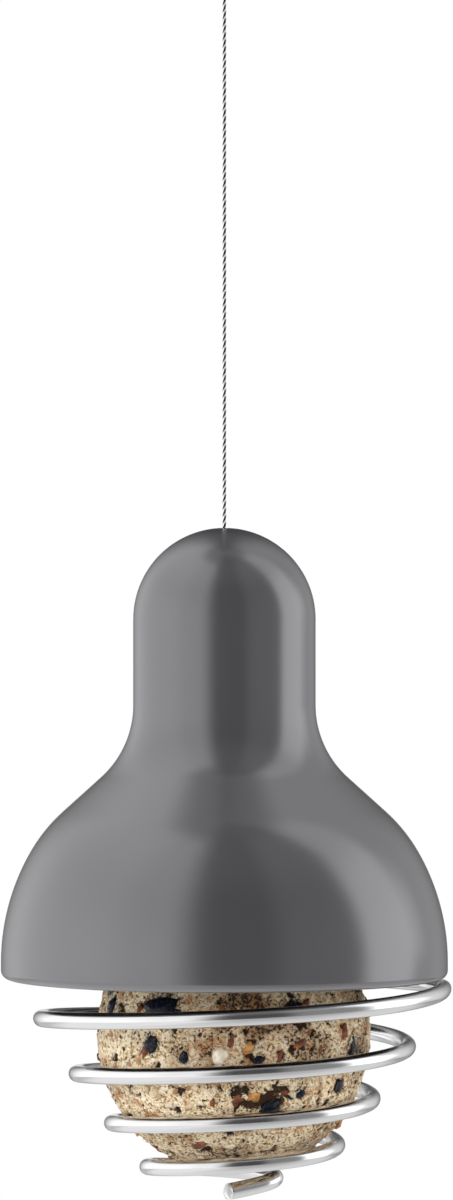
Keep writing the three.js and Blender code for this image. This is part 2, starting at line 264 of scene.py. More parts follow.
# Heights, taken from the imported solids
apex_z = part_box("bell")[1].z
rim_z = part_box("bell")[0].z
top_ferrule_low, top_ferrule_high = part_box("top_ferrule")
foot_ferrule_low, foot_ferrule_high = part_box("foot_ferrule")
washer_low, washer_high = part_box("stop_washer")
ball_low, ball_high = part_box("fat_ball")
ball_centre = (ball_low + ball_high) / 2
ball_radius = (ball_high.z - ball_low.z) / 2
foot_loop_z = foot_ferrule_low.z - FOOT_LOOP_HEIGHT
eye_z = foot_loop_z + ROPE_DIAMETER / 2 + SEAT_GAP + WIRE_RADIUS - EYE_RADIUS
coil_top_z = rim_z - RIM_GAP - WIRE_RADIUS

# Centres of the bell's arcs, as radius and height
dome_top_z = top_ferrule_low.z - ROPE_TO_DOME
dome_centre = Vector((0, dome_top_z - NECK_RADIUS))
flare_centre = Vector((NECK_RADIUS + FLARE_RADIUS, dome_top_z - NECK_DEPTH))
skirt_width = SKIRT_RADIUS * (1 - math.cos(SKIRT_ANGLE))
shoulder_width = SHOULDER_RADIUS * (math.cos(SKIRT_ANGLE) - math.cos(FLARE_ANGLE))
flare_end = flare_centre - FLARE_RADIUS * Vector((math.cos(FLARE_ANGLE), math.sin(FLARE_ANGLE)))
cone_width = RIM_RADIUS - flare_end.x - shoulder_width - skirt_width
cone_foot_z = flare_end.y - cone_width / math.tan(FLARE_ANGLE)
shoulder_centre = Vector((
    RIM_RADIUS - skirt_width - SHOULDER_RADIUS * math.cos(SKIRT_ANGLE),
    cone_foot_z - SHOULDER_RADIUS * math.sin(FLARE_ANGLE),
))
skirt_centre = Vector((
    RIM_RADIUS - SKIRT_RADIUS,
    shoulder_centre.y + (SHOULDER_RADIUS - SKIRT_RADIUS) * math.sin(SKIRT_ANGLE),
))


class Field:
    """A value that varies over a surface. Arithmetic on it adds Math nodes."""

    def __init__(self, nodes, socket):
        self.nodes = nodes
        self.socket = socket

    def maths(self, operation, first, second):
        return self.nodes.add("ShaderNodeMath", {"operation": operation}, {0: first, 1: second})

    def __add__(self, other):
        return self.maths("ADD", self, other)

    def __radd__(self, other):
        return self.maths("ADD", other, self)

    def __sub__(self, other):
        return self.maths("SUBTRACT", self, other)

    def __rsub__(self, other):
        return self.maths("SUBTRACT", other, self)

    def __mul__(self, other):
        return self.maths("MULTIPLY", self, other)

    def __rmul__(self, other):
        return self.maths("MULTIPLY", other, self)

    def larger(self, other):
        return self.maths("MAXIMUM", self, other)

    def between(self, low, high):
        """0 at low and 1 at high, with a smooth step between them."""
        settings = {"interpolation_type": "SMOOTHSTEP", "clamp": True}
        inputs = {"Value": self, "From Min": low, "From Max": high}
        return self.nodes.add("ShaderNodeMapRange", settings, inputs)


class Nodes:
    """The nodes of one material or of the world."""

    def __init__(self, tree):
        self.tree = tree
        tree.nodes.clear()

    def add(self, kind, settings, inputs, output=0):
        """One node: its settings are set first, then the values or links of its sockets."""
        made = self.tree.nodes.new(kind)
        for name, value in settings.items():
            if name == "stops":
                self.set_stops(made.color_ramp, value)
            else:
                setattr(made, name, value)
        for name, value in inputs.items():
            if isinstance(value, Field):
                self.tree.links.new(value.socket, made.inputs[name])
            else:
                made.inputs[name].default_value = value
        return Field(self, made.outputs[output]) if made.outputs else None

    def set_stops(self, ramp, stops):
        while len(ramp.elements) < len(stops):
            ramp.elements.new(1)
        for element, (place, colour) in zip(ramp.elements, stops):
            element.position = place
            element.color = colour

    def place(self):
        return self.add("ShaderNodeTexCoord", {}, {}, "Object")

    def attribute(self, name, output):
        return self.add("ShaderNodeAttribute", {"attribute_name": name}, {}, output)

    def stretched(self, where, scale):
        return self.add("ShaderNodeMapping", {}, {"Vector": where, "Scale": scale})

    def noise(self, where, scale, detail, roughness=0.5):
        inputs = {"Vector": where, "Scale": scale, "Detail": detail, "Roughness": roughness}
        return self.add("ShaderNodeTexNoise", {}, inputs)

    def cells(self, where, scale):
        """A random colour for each cell."""
        return self.add("ShaderNodeTexVoronoi", {}, {"Vector": where, "Scale": scale}, "Color")

    def part(self, vector, axis):
        """One part of a vector, or of a colour whose X is its red."""
        return self.add("ShaderNodeSeparateXYZ", {}, {"Vector": vector}, axis)

    def reach(self, where):
        """The distance from the Z axis."""
        flat = self.stretched(where, (1, 1, 0))
        return self.add("ShaderNodeVectorMath", {"operation": "LENGTH"}, {0: flat}, "Value")

    def mix(self, share, first, second):
        return self.add("ShaderNodeMix", {"data_type": "RGBA"}, {0: share, 6: first, 7: second}, 2)

    def ramp(self, value, stops):
        return self.add("ShaderNodeValToRGB", {"stops": stops}, {"Fac": value})

    def bump(self, height, depth):
        inputs = {"Height": height, "Distance": depth, "Strength": 1}
        return self.add("ShaderNodeBump", {}, inputs)

    def surface(self, inputs):
        shader = self.add("ShaderNodeBsdfPrincipled", {}, inputs)
        self.add("ShaderNodeOutputMaterial", {}, {"Surface": shader})


def new_finish(name):
    material = bpy.data.materials.new(name)
    material.use_nodes = True
    return material, Nodes(material.node_tree)


def grey(level):
    return (level, level, level, 1)


def satin_glaze():
    """Grey satin glaze, a little cloudy, with fine dimples, and paler over the rim's lip and round the
    hole.
    """
    material, nodes = new_finish("satin_grey_glaze")
    where = nodes.place()
    cloud = nodes.noise(where, 30, 2)
    dimples = nodes.noise(where, 420, 1)
    body = nodes.mix(cloud, (0.0405, 0.0401, 0.0436, 1), (0.0452, 0.0448, 0.0486, 1))
    nodes.surface({
        "Base Color": nodes.mix(nodes.attribute("edge", "Fac") * 0.5, body, grey(0.24)),
        "Roughness": 0.18 + cloud * 0.04,
        "IOR": 2.2,
        "Specular Tint": (0.972, 0.965, 1, 1),
        "Normal": nodes.bump(dimples, 0.006 * MM),
    })
    return material


def drawn_steel():
    material, nodes = new_finish("drawn_stainless_wire")
    straight = nodes.attribute("straight", "Vector")
    lines = nodes.noise(nodes.stretched(straight, (1, 1, 0.012)), 3800, 3, 0.6)
    haze = nodes.noise(straight, 160, 3)
    nodes.surface({
        "Base Color": nodes.mix(lines, (0.69, 0.69, 0.695, 1), (0.83, 0.83, 0.835, 1)),
        "Metallic": 1.0,
        "Roughness": 0.12 + lines * 0.08 + haze * 0.04,
        "Normal": nodes.bump(lines, 0.004 * MM),
    })
    return material


def rope_steel():
    """Bright strands of fine wires, dark in the grooves between them with oil and painted shade."""
    material, nodes = new_finish("stranded_rope_steel")
    straight = nodes.attribute("straight", "Vector")
    wires = nodes.noise(nodes.stretched(straight, (1, 1, 0.05)), 9000, 1)
    dull = nodes.noise(nodes.place(), 420, 3).between(0.5, 0.8)
    # Painted shade, with some oil: the grooves between strands go near-black.
    groove = nodes.attribute("groove", "Fac").between(0.07, 0.2)
    strand = nodes.mix(dull * 0.3, grey(0.96), (0.64, 0.63, 0.62, 1))
    nodes.surface({
        "Base Color": nodes.mix(groove, strand, (0.05, 0.05, 0.052, 1)),
        "Metallic": 1.0,
        "Roughness": 0.14 + wires * 0.06 + dull * 0.08 + groove * 0.2,
        "Normal": nodes.bump(wires, 0.004 * MM),
    })
    return material


def crimped_aluminium():
    material, nodes = new_finish("crimped_aluminium")
    where = nodes.place()
    scuffs = nodes.noise(nodes.stretched(where, (1, 1, 0.15)), 2600, 3, 0.6)
    dull = nodes.noise(where, 600, 3)
    nodes.surface({
        "Base Color": nodes.mix(scuffs, (0.60, 0.60, 0.61, 1), (0.78, 0.78, 0.79, 1)),
        "Metallic": 1.0,
        "Roughness": 0.3 + dull * 0.22,
        "Normal": nodes.bump(scuffs, 0.01 * MM),
    })
    return material


def turned_steel():
    material, nodes = new_finish("punched_washer_steel")
    where = nodes.place()
    rings = {"W": nodes.reach(where), "Scale": 9000}
    turning = nodes.add("ShaderNodeTexNoise", {"noise_dimensions": "1D"}, rings)
    stain = nodes.noise(where, 350, 3)
    nodes.surface({
        "Base Color": nodes.mix(stain, (0.50, 0.50, 0.51, 1), (0.68, 0.68, 0.69, 1)),
        "Metallic": 1.0,
        "Roughness": 0.24 + turning * 0.14,
        "Normal": nodes.bump(turning, 0.01 * MM),
    })
    return material


def pressed_fat():
    """Crumbs of fat and meal: pale on the crumbs, dark brown in the gaps between them, which is partly
    painted shade in the crevices and partly dark specks.
    """
    material, nodes = new_finish("pressed_fat_and_meal")
    where = nodes.place()
    hollow = nodes.attribute("hollow", "Fac")
    crumb_tone = nodes.part(nodes.cells(where, 1500), "X")
    grain = nodes.noise(where, 1900, 2, 0.65)
    gap = nodes.noise(where, 1350, 3, 0.7)
    coarse = nodes.noise(where, 75, 2).between(0.45, 0.6)
    stain = nodes.noise(where, 230, 4, 0.65).between(0.545, 0.64)
    # Painted shade over browner broken fat: the middle of the front is darkened, most towards the bell,
    # half as much at the bottom, and not in a paler band between.
    across = nodes.part(where, "X")
    middle = across.between(*BROKEN_SHADE_LEFT) * (1 - 0.4 * across.between(*BROKEN_SHADE_RIGHT))
    up = nodes.part(where, "Z")
    broken_and_shade = middle * (0.5 - 0.5 * up.between(*BROKEN_SHADE_LOWER) + up.between(*BROKEN_SHADE_UPPER))
    meal = nodes.ramp(grain * 0.7 + crumb_tone * 0.3, [
        (0.28, (0.18, 0.095, 0.040, 1)),
        (0.37, (0.52, 0.36, 0.180, 1)),
        (0.46, (0.90, 0.685, 0.415, 1)),
        (0.56, (0.98, 0.83, 0.580, 1)),
        (0.68, (1.00, 0.94, 0.790, 1)),
    ])
    browner = nodes.mix(coarse * (broken_and_shade * 0.3 + 0.2) + broken_and_shade * 0.42, meal, (0.30, 0.17, 0.08, 1))
    rusty = nodes.mix(stain * 0.75, browner, (0.42, 0.17, 0.055, 1))
    # Painted shade: the pits, crumb hollows and seed sockets go near-black brown.
    deep = (hollow - (grain - 0.5) * 1.6).between(0.2, 0.8)
    shaded = nodes.mix(deep, rusty, (0.04, 0.021, 0.010, 1))
    # Painted shade in the crevices between crumbs, with some dark specks: the gaps go near-black.
    open_gap = 1 - (gap - coarse * (broken_and_shade * 0.07 + 0.05) - broken_and_shade * 0.025).between(0.335, 0.375)
    nodes.surface({
        "Base Color": nodes.mix(open_gap, shaded, (0.04, 0.02, 0.010, 1)),
        "Roughness": 0.6 + crumb_tone * 0.25,
        "Specular IOR Level": 0.3,
        "Normal": nodes.bump(grain + crumb_tone * 0.25 - open_gap * 0.4, 0.8 * MM),
    })
    return material


def seed_shell():
    """Black seed shells with faint pale stripes along them."""
    material, nodes = new_finish("black_seed_shell")
    along = nodes.attribute("grown", "Vector")
    stripes = nodes.noise(nodes.stretched(along, (0.12, 1, 1)), 1700, 1).between(0.6, 0.75)
    dust = nodes.noise(nodes.place(), 1400, 3).between(0.5, 0.8)
    shell = nodes.mix(stripes * 0.35, (0.006, 0.008, 0.015, 1), (0.13, 0.125, 0.12, 1))
    nodes.surface({
        "Base Color": nodes.mix(dust * 0.06, shell, (0.33, 0.24, 0.14, 1)),
        "Roughness": 0.24 + dust * 0.25,
        "Specular IOR Level": 0.22,
        "Normal": nodes.bump(stripes, 0.08 * MM),
    })
    return material


def bit_finish(name, dark, light, rough):
    """A broken bit of husk, maize or nut: two tones of one colour, wrinkled."""
    material, nodes = new_finish(name)
    where = nodes.place()
    tone = nodes.noise(where, 520, 3, 0.6)
    wrinkles = nodes.noise(where, 1500, 3, 0.65)
    nodes.surface({
        "Base Color": nodes.mix(tone.between(0.35, 0.68), dark, light),
        "Roughness": rough + wrinkles * 0.2,
        "Normal": nodes.bump(wrinkles, 0.25 * MM),
    })
    return material


def piece(name, bm, finish, body, slot, *nodes):
    """A finished mesh that rides on a body, stands for the named CAD nodes and takes the given finish. Its
    slot is not used.
    """
    for face in bm.faces:
        face.smooth = True
    mesh = bpy.data.meshes.new(name)
    bm.to_mesh(mesh)
    bm.free()
    mesh.materials.append(finish)
    obj = bpy.data.objects.new(name, mesh)
    bpy.context.scene.collection.objects.link(obj)
    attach(obj, body)
    if nodes:
        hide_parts(*nodes)
    return obj


def route_frames(points):
    """A frame at each point of a route, with Z along the route and no twist about it."""
    ahead = [(b - a).normalized() for a, b in zip(points, points[1:])]
    tangents = [ahead[0]] + [(a + b).normalized() for a, b in zip(ahead, ahead[1:])] + [ahead[-1]]
    across = tangents[0].orthogonal().normalized()
    frames = []
    for i, (point, tangent) in enumerate(zip(points, tangents)):
        if i:
            across = tangents[i - 1].rotation_difference(tangent) @ across
        across = (across - tangent * across.dot(tangent)).normalized()
        turn = Matrix((across, tangent.cross(across), tangent)).transposed()
        frames.append(Matrix.Translation(point) @ turn.to_4x4())
    return frames


def travel(points):
    """The distance along a route to each of its points."""
    distances = [0.0]
    for a, b in zip(points, points[1:]):
        distances.append(distances[-1] + (b - a).length)
    return distances


def evenly(points, step):
    """The same route with its points about a step apart."""
    length = travel(points)[-1]
    count = round(length / step)
    gap = length / count
    even = [points[0]]
    travelled = 0.0
    due = gap
    for a, b in zip(points, points[1:]):
        span = (b - a).length
        while due <= travelled + span and len(even) < count:
            even.append(a.lerp(b, (due - travelled) / span))
            due += gap
        travelled += span
    return even + [points[-1]]


def sweep_bar(points, radius, sides):
    """A round bar, made straight and then bent along points. Its straight layer keeps the unbent place."""
    bm = bmesh.new()
    straight = bm.verts.layers.float_vector.new("straight")
    spans = len(points) - 1
    bmesh.ops.create_cone(bm, segments=sides, radius1=radius, radius2=radius, depth=spans, cap_ends=True)
    lengthwise = [edge for edge in bm.edges if edge.calc_length() > spans / 2]
    bmesh.ops.subdivide_edges(bm, edges=lengthwise, cuts=spans - 1, use_grid_fill=True)
    travelled = travel(points)
    frames = route_frames(points)
    for vert in bm.verts:
        station = round(vert.co.z + spans / 2)
        vert.co.z = 0
        vert[straight] = vert.co + UP * travelled[station]
        vert.co = frames[station] @ vert.co
    return bm


def round_edges(bm, edges, offset):
    bmesh.ops.bevel(bm, geom=edges, offset=offset, affect="EDGES", segments=2, profile=0.5, material=-1)


def point_tree(points):
    """A search tree that finds the nearest of the points."""
    tree = kdtree.KDTree(len(points))
    for i, point in enumerate(points):
        tree.insert(point, i)
    tree.balance()
    return tree


def arc(centre, radius, start, stop, steps):
    points = []
    for i in range(steps + 1):
        angle = start + (stop - start) * i / steps
        points.append(centre + radius * Vector((math.cos(angle), math.sin(angle))))
    return points


def revolve(profile, steps):
    """A closed profile of radius and height, spun a full turn round the Z axis."""
    bm = bmesh.new()
    verts = [bm.verts.new((r, 0, z)) for r, z in profile]
    edges = [bm.edges.new((a, b)) for a, b in zip(verts, verts[1:] + verts[:1])]
    bmesh.ops.spin(
        bm, geom=verts + edges, axis=UP, cent=(0, 0, 0), angle=2 * math.pi, steps=steps, use_merge=True
    )
    bmesh.ops.recalc_face_normals(bm, faces=bm.faces)
    return bm


def smooth_step(value, low, high):
    share = max(0.0, min(1.0, (value - low) / (high - low)))
    return share * share * (3 - 2 * share)


def around_axis(angle, radius, z):
    return Vector((radius * math.cos(angle), radius * math.sin(angle), z))


def through(stations, share):
    """The point at a share of the way along a centripetal curve through the stations."""
    spans = len(stations) - 1
    span = min(int(share * spans), spans - 1)
    t = share * spans - span
    near, far = stations[span], stations[span + 1]
    before = stations[span - 1] if span else near * 2 - far
    after = stations[span + 2] if span + 2 <= spans else far * 2 - near
    a, b, c = ((q - p).length ** 0.5 for p, q in ((before, near), (near, far), (far, after)))
    leave = ((near - before) / a - (far - before) / (a + b) + (far - near) / b) * b
    arrive = ((far - near) / b - (after - near) / (b + c) + (after - far) / c) * b
    start = near * (2 * t ** 3 - 3 * t ** 2 + 1) + leave * (t ** 3 - 2 * t ** 2 + t)
    return start + far * (3 * t ** 2 - 2 * t ** 3) + arrive * (t ** 3 - t ** 2)


def rope_loop(across, mouth_z, bend_z, radius, shoulder, rise):
    """A closed drop of rope from the live strand round to the dead end beside it."""
    def at(offset, z):
        return across * offset + UP * z

    mouth_lead = mouth_z + rise * shoulder
    bend_lead = bend_z - rise * shoulder
    out = (at(0, mouth_z), at(0, mouth_lead), at(-radius, bend_lead), at(-radius, bend_z))
    dead_end = (at(ROPE_SPACING, mouth_lead), at(ROPE_SPACING, mouth_z))
    back = (at(radius, bend_z), at(radius, bend_lead), *dead_end)
    bend = []
    for i in range(1, LOOP_STEPS):
        angle = math.pi * (1 - i / LOOP_STEPS)
        bend.append(at(radius * math.cos(angle), bend_z + rise * radius * math.sin(angle)))
    points = LOOP_STEPS + 1
    return geometry.interpolate_bezier(*out, points) + bend + geometry.interpolate_bezier(*back, points)


def top_loop_route():
    bend_z = ROPE_DIAMETER / 2 - TOP_LOOP_RADIUS
    loop = rope_loop(TOP_LOOP_SIDE, top_ferrule_high.z, bend_z, TOP_LOOP_RADIUS, TOP_LOOP_SHOULDER, 1)
    live_foot = UP * top_ferrule_low.z
    dead_foot = TOP_LOOP_SIDE * ROPE_SPACING + UP * (top_ferrule_low.z + DEAD_END_INSET)
    return evenly([live_foot, *loop, dead_foot], ROPE_STEP)


def hanging_rope_route():
    bend_z = foot_loop_z + FOOT_LOOP_RADIUS
    loop = rope_loop(FOOT_LOOP_SIDE, foot_ferrule_low.z, bend_z, FOOT_LOOP_RADIUS, FOOT_LOOP_SHOULDER, -1)
    top = UP * (top_ferrule_low.z - SWING_GAP)
    dead_top = FOOT_LOOP_SIDE * ROPE_SPACING + UP * (foot_ferrule_high.z - DEAD_END_INSET)
    return evenly([top, *loop, dead_top], ROPE_STEP)


def lay_rope(name, route, finish, body):
    """Strands twisted right-handed into a cord that goes back into the object."""
    frames = route_frames(route)
    distances = travel(route)
    axis = point_tree(route)
    bm = bmesh.new()
    for strand in range(ROPE_STRANDS):
        line = []
        for here, distance in zip(frames, distances):
            angle = 2 * math.pi * (distance / ROPE_LAY + strand / ROPE_STRANDS)
            line.append(here @ around_axis(angle, STRAND_REACH, 0))
        bar = sweep_bar(line, STRAND_RADIUS, STRAND_SIDES)
        # How deep a point lies in the grooves between strands, where the finish paints shade.
        groove = bar.verts.layers.float.new("groove")
        for vert in bar.verts:
            centre, i, away = axis.find(vert.co)
            along = (vert.co - centre).dot(frames[i].col[2].xyz)
            reach = math.sqrt(max(0, away ** 2 - along ** 2))
            vert[groove] = 1 - 2 * reach / ROPE_DIAMETER
        mesh = bpy.data.meshes.new("strand")
        bar.to_mesh(mesh)
        bar.free()
        bm.from_mesh(mesh)
        bpy.data.meshes.remove(mesh)
    bmesh.ops.recalc_face_normals(bm, faces=bm.faces)
    rope = piece(name + "_strands", bm, finish, body, "wire_rope", name)


def coil_point(turn):
    radius = COIL_TOP_RADIUS - COIL_TAPER * turn
    drop = COIL_PITCH * turn - COIL_CLOSING * turn ** 2
    return around_axis(-2 * math.pi * turn, radius, coil_top_z - drop) + Vector((COIL_OFFSET, 0, 0))


def tail_points():
    """The last bend under the ball, from the cut end up to the coil."""
    coil_end = coil_point(COIL_TURNS)
    coil_radius = COIL_TOP_RADIUS - COIL_TAPER * COIL_TURNS
    bend = Vector((COIL_OFFSET + TAIL_REACH, TAIL_DEPTH, coil_end.z - TAIL_DROP))
    heading = Vector((-math.cos(TAIL_HEADING), -math.sin(TAIL_HEADING), 0))
    end = bend + heading * TAIL_LENGTH - Vector((0, TAIL_DEPTH, TAIL_END_DROP))
    end_lead = end - heading * TAIL_LENGTH * TAIL_LEAD_SHARE + UP * TAIL_END_DROP * END_SLOPE_SHARE
    bend_out = bend - Vector((0, TAIL_LENGTH * BEND_LEAD_SHARE, TAIL_END_DROP * BEND_SLOPE_SHARE))
    bend_in = bend + Vector((0, TAIL_REACH * CURL_LEAD_SHARE, TAIL_DROP * BEND_SLOPE_SHARE))
    coil_out = coil_end + Vector((0, coil_radius * COIL_LEAD_SHARE, -TAIL_DROP * END_SLOPE_SHARE))
    tail = geometry.interpolate_bezier(end, end_lead, bend_out, bend, TAIL_STEPS)
    turn = geometry.interpolate_bezier(bend, bend_in, coil_out, coil_end, 2 * TAIL_STEPS)
    return tail + turn[1:-1]


def hanger_points():
    """From the top of the coil, in under the rim, up the inside of the bell and round the eye."""
    inset = BELL_WALL + HANGER_INSET + WIRE_RADIUS
    entry_radius = RIM_RADIUS - inset
    flare_radius = FLARE_RADIUS + inset
    coil_top = coil_point(0)
    skirt_heading = Vector((math.cos(SKIRT_ANGLE), math.sin(SKIRT_ANGLE)))
    shoulder = shoulder_centre + (SHOULDER_RADIUS - inset) * skirt_heading
    stations = [coil_point(HANGER_LEAD_TURN), coil_top]
    for i in range(1, HANGER_ENTRY_STATIONS + 1):
        share = i / HANGER_ENTRY_STATIONS
        radius = coil_top.x + (entry_radius - coil_top.x) * smooth_step(share, 0, 1)
        stations.append(around_axis(HANGER_ENTRY_ANGLE * share, radius, coil_top_z))
    stations.append(around_axis(HANGER_CLIMB_ANGLE, entry_radius, coil_top_z + HANGER_CLIMB))
    stations.append(around_axis(HANGER_SHOULDER_ANGLE, *shoulder))
    for turn, angle in ((HANGER_FLARE_ANGLE, FLARE_ANGLE), (math.pi, FLARE_ANGLE / 2)):
        on_flare = flare_centre - flare_radius * Vector((math.cos(angle), math.sin(angle)))
        stations.append(around_axis(turn, *on_flare))
    stations.append(around_axis(math.pi, EYE_RADIUS, eye_z))
    stations.append(around_axis(math.pi, EYE_RADIUS, eye_z + EYE_RADIUS))
    first = 1 / (len(stations) - 1)
    points = []
    for i in range(1, HANGER_STEPS):
        points.append(through(stations, first + (1 - 2 * first) * i / HANGER_STEPS))
    for i in range(EYE_STEPS + 1):
        angle = EYE_SWEEP * i / EYE_STEPS
        points.append(Vector((-EYE_RADIUS * math.cos(angle), 0, eye_z + EYE_RADIUS * math.sin(angle))))
    return points


def wire_route():
    steps = round(COIL_STEPS * COIL_TURNS)
    coil = [coil_point(COIL_TURNS * i / steps) for i in range(steps, -1, -1)]
    return tail_points() + coil + hanger_points()


def wind_coil(route, finish):
    bm = sweep_bar(route, WIRE_RADIUS, WIRE_SIDES)
    ends = [edge for face in bm.faces if len(face.verts) == WIRE_SIDES for edge in face.edges]
    round_edges(bm, ends, WIRE_CHAMFER)
    bmesh.ops.recalc_face_normals(bm, faces=bm.faces)
    piece("coil_wire", bm, finish, "coil", "coil_wire", "coil")


def bell_wall(inset, hole_edge):
    """One wall of the bell from the hole to the rim, moved inwards by inset."""
    dome_radius = NECK_RADIUS - inset
    hole_angle = math.acos((BELL_HOLE_RADIUS + hole_edge) / dome_radius)
    return [
        *arc(dome_centre, dome_radius, hole_angle, 0, DOME_STEPS),
        *arc(flare_centre, FLARE_RADIUS + inset, math.pi, math.pi + FLARE_ANGLE, FLARE_STEPS),
        *arc(shoulder_centre, SHOULDER_RADIUS - inset, FLARE_ANGLE, SKIRT_ANGLE, SHOULDER_STEPS),
        *arc(skirt_centre, SKIRT_RADIUS - inset, SKIRT_ANGLE, 0, SKIRT_STEPS)[1:],
    ]


def throw_bell(finish):
    half_wall = BELL_WALL / 2
    rim_centre = Vector((RIM_RADIUS - half_wall, rim_z + half_wall))
    outer = bell_wall(0, BELL_HOLE_EDGE)
    inner = bell_wall(BELL_WALL, 0)
    edge_centre = Vector((BELL_HOLE_RADIUS + BELL_HOLE_EDGE, outer[0].y - BELL_HOLE_EDGE))
    hole_edge = arc(edge_centre, BELL_HOLE_EDGE, math.pi, math.pi / 2, HOLE_EDGE_STEPS)
    rim = arc(rim_centre, half_wall, 0, -math.pi, RIM_STEPS)
    profile = hole_edge[:-1] + outer + rim + inner[::-1]
    bm = revolve(profile, BELL_STEPS)
    edge = bm.verts.layers.float.new("edge")
    for vert in bm.verts:
        nearness = 1 - (vert.co.z - rim_z) / half_wall
        if vert.co.z > dome_centre.y:
            reach = math.hypot(vert.co.x, vert.co.y)
            nearness = 1 - (reach - BELL_HOLE_RADIUS) / (2 * BELL_HOLE_EDGE)
        vert[edge] = max(0, min(1, nearness))
    piece("glazed_bell", bm, finish, "bell", "grey_glaze", "bell")


def press_washer(finish):
    outer = washer_high.x - WASHER_EDGE
    hole = WASHER_HOLE_RADIUS + WASHER_EDGE
    low = washer_low.z + WASHER_EDGE
    high = washer_high.z - WASHER_EDGE
    quarter = math.pi / 2
    corners = ((outer, low, -quarter), (outer, high, 0), (hole, high, quarter), (hole, low, 2 * quarter))
    profile = []
    for r, z, start in corners:
        profile += arc(Vector((r, z)), WASHER_EDGE, start, start + quarter, WASHER_EDGE_STEPS)
    bm = revolve(profile, WASHER_STEPS)
    piece("stop_washer_disc", bm, finish, "washer", "washer_steel", "stop_washer")


def crimp_ferrule(name, dead_side, body, finish):
    """A sleeve over both strands, squeezed in a few grooves, with the rope sunk into its ends."""
    low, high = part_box(name)
    centre = (low + high) / 2
    thin = UP.cross(dead_side)
    radius = abs((high - low).dot(thin)) / 2
    bm = bmesh.new()
    start = Matrix.Translation(UP * low.z)
    ring = bmesh.ops.create_circle(bm, segments=FERRULE_SIDES, radius=radius, matrix=start)["verts"]
    dead_half = [vert for vert in ring if vert.co.dot(dead_side) > TINY]
    bmesh.ops.translate(bm, vec=dead_side * ROPE_SPACING, verts=dead_half)
    foot = list(bm.edges)
    edges = foot
    squeeze_before = 1.0
    step = Matrix.Translation(UP * (high.z - low.z) / FERRULE_RINGS)
    across = thin.to_track_quat("X", "Z").to_matrix().to_4x4()
    turned = Matrix.Translation((centre.x, centre.y, 0)) @ across
    for i in range(1, FERRULE_RINGS + 1):
        share = i / FERRULE_RINGS
        inside = min(1, FERRULE_EASE * min(share, 1 - share))
        groove = 0.5 - 0.5 * math.cos(2 * math.pi * FERRULE_GROOVES * share)
        squeeze = 1 - FERRULE_SQUEEZE * inside * groove ** 2
        made = bmesh.ops.extrude_edge_only(bm, edges=edges)
        ring = [item for item in made["geom"] if isinstance(item, bmesh.types.BMVert)]
        edges = [item for item in made["geom"] if isinstance(item, bmesh.types.BMEdge)]
        edges = [edge for edge in edges if all(vert in ring for vert in edge.verts)]
        narrow = Matrix.Diagonal((squeeze / squeeze_before, 1, 1, 1))
        bmesh.ops.transform(bm, matrix=step @ turned @ narrow @ turned.inverted(), verts=ring)
        squeeze_before = squeeze
    caps = [bmesh.ops.edgeloop_fill(bm, edges=end)["faces"][0] for end in (foot, edges)]
    bmesh.ops.recalc_face_normals(bm, faces=bm.faces)
    for cap in caps:
        bmesh.ops.inset_region(bm, faces=[cap], thickness=FERRULE_WALL, use_even_offset=True)
        bmesh.ops.translate(bm, vec=-cap.normal * FERRULE_RECESS, verts=list(cap.verts))
    ends = [edge for edge in bm.edges if edge.calc_face_angle(0) > SHARP_ANGLE]
    round_edges(bm, ends, FERRULE_EDGE)
    return piece(name + "_sleeve", bm, finish, body, "ferrule_metal", name)


def on_ball(x, z):
    """The point on the front of the ball that the camera sees at x and z, in millimetres."""
    across = Vector((x * MM - ball_centre.x, 0, z * MM - ball_centre.z))
    depth = math.sqrt(max(0, ball_radius ** 2 - across.length_squared))
    return ball_centre + across - Vector((0, depth, 0))


crevices = [(on_ball(x, z), reach * MM) for x, z, reach in FRONT_CREVICES]


def spread_spots(count, chance, taken, front):
    """Random places on the ball, clear of those taken and, unless front is set, of the side in view."""
    spots = []
    while len(spots) < count:
        heading = Vector([chance.gauss(0, 1) for _ in range(3)]).normalized()
        spot = ball_centre + heading * ball_radius
        in_view = heading.y < -FRONT_LIMIT and spot.z < rim_z and not front
        if not in_view and all((spot - other).length > apart for other, apart in taken):
            spots.append(spot)
    return spots


def crumble(heading):
    """How deep the crumbly surface lies below the round of the ball, and how much painted shade its
    hollows get.
    """
    place = heading * ball_radius
    lump = 0.5 + 0.5 * noise.noise(place / LUMP_SIZE)
    crumb = min(1, noise.voronoi(place / CRUMB_SIZE)[0][0])
    pit = noise.noise(place / PIT_SIZE) + 0.5 * noise.noise(place / CRUMB_SIZE)
    pit += PIT_CLUSTER * smooth_step(noise.noise(place / CLUSTER_SIZE), *CLUSTER_EDGES)
    for spot, reach in crevices:
        away = (ball_centre + place - spot).length
        pit += PIT_CLUSTER * (1 - smooth_step(away, CREVICE_CORE * reach, reach))
    pit = smooth_step(pit, *PIT_EDGES)
    depth = LUMP_DEPTH * lump + CRUMB_DEPTH * crumb + PIT_DEPTH * pit - BALL_PROUD
    return depth, min(1, PIT_SHADE * pit + CRUMB_SHADE * smooth_step(crumb, *CRUMB_EDGES))


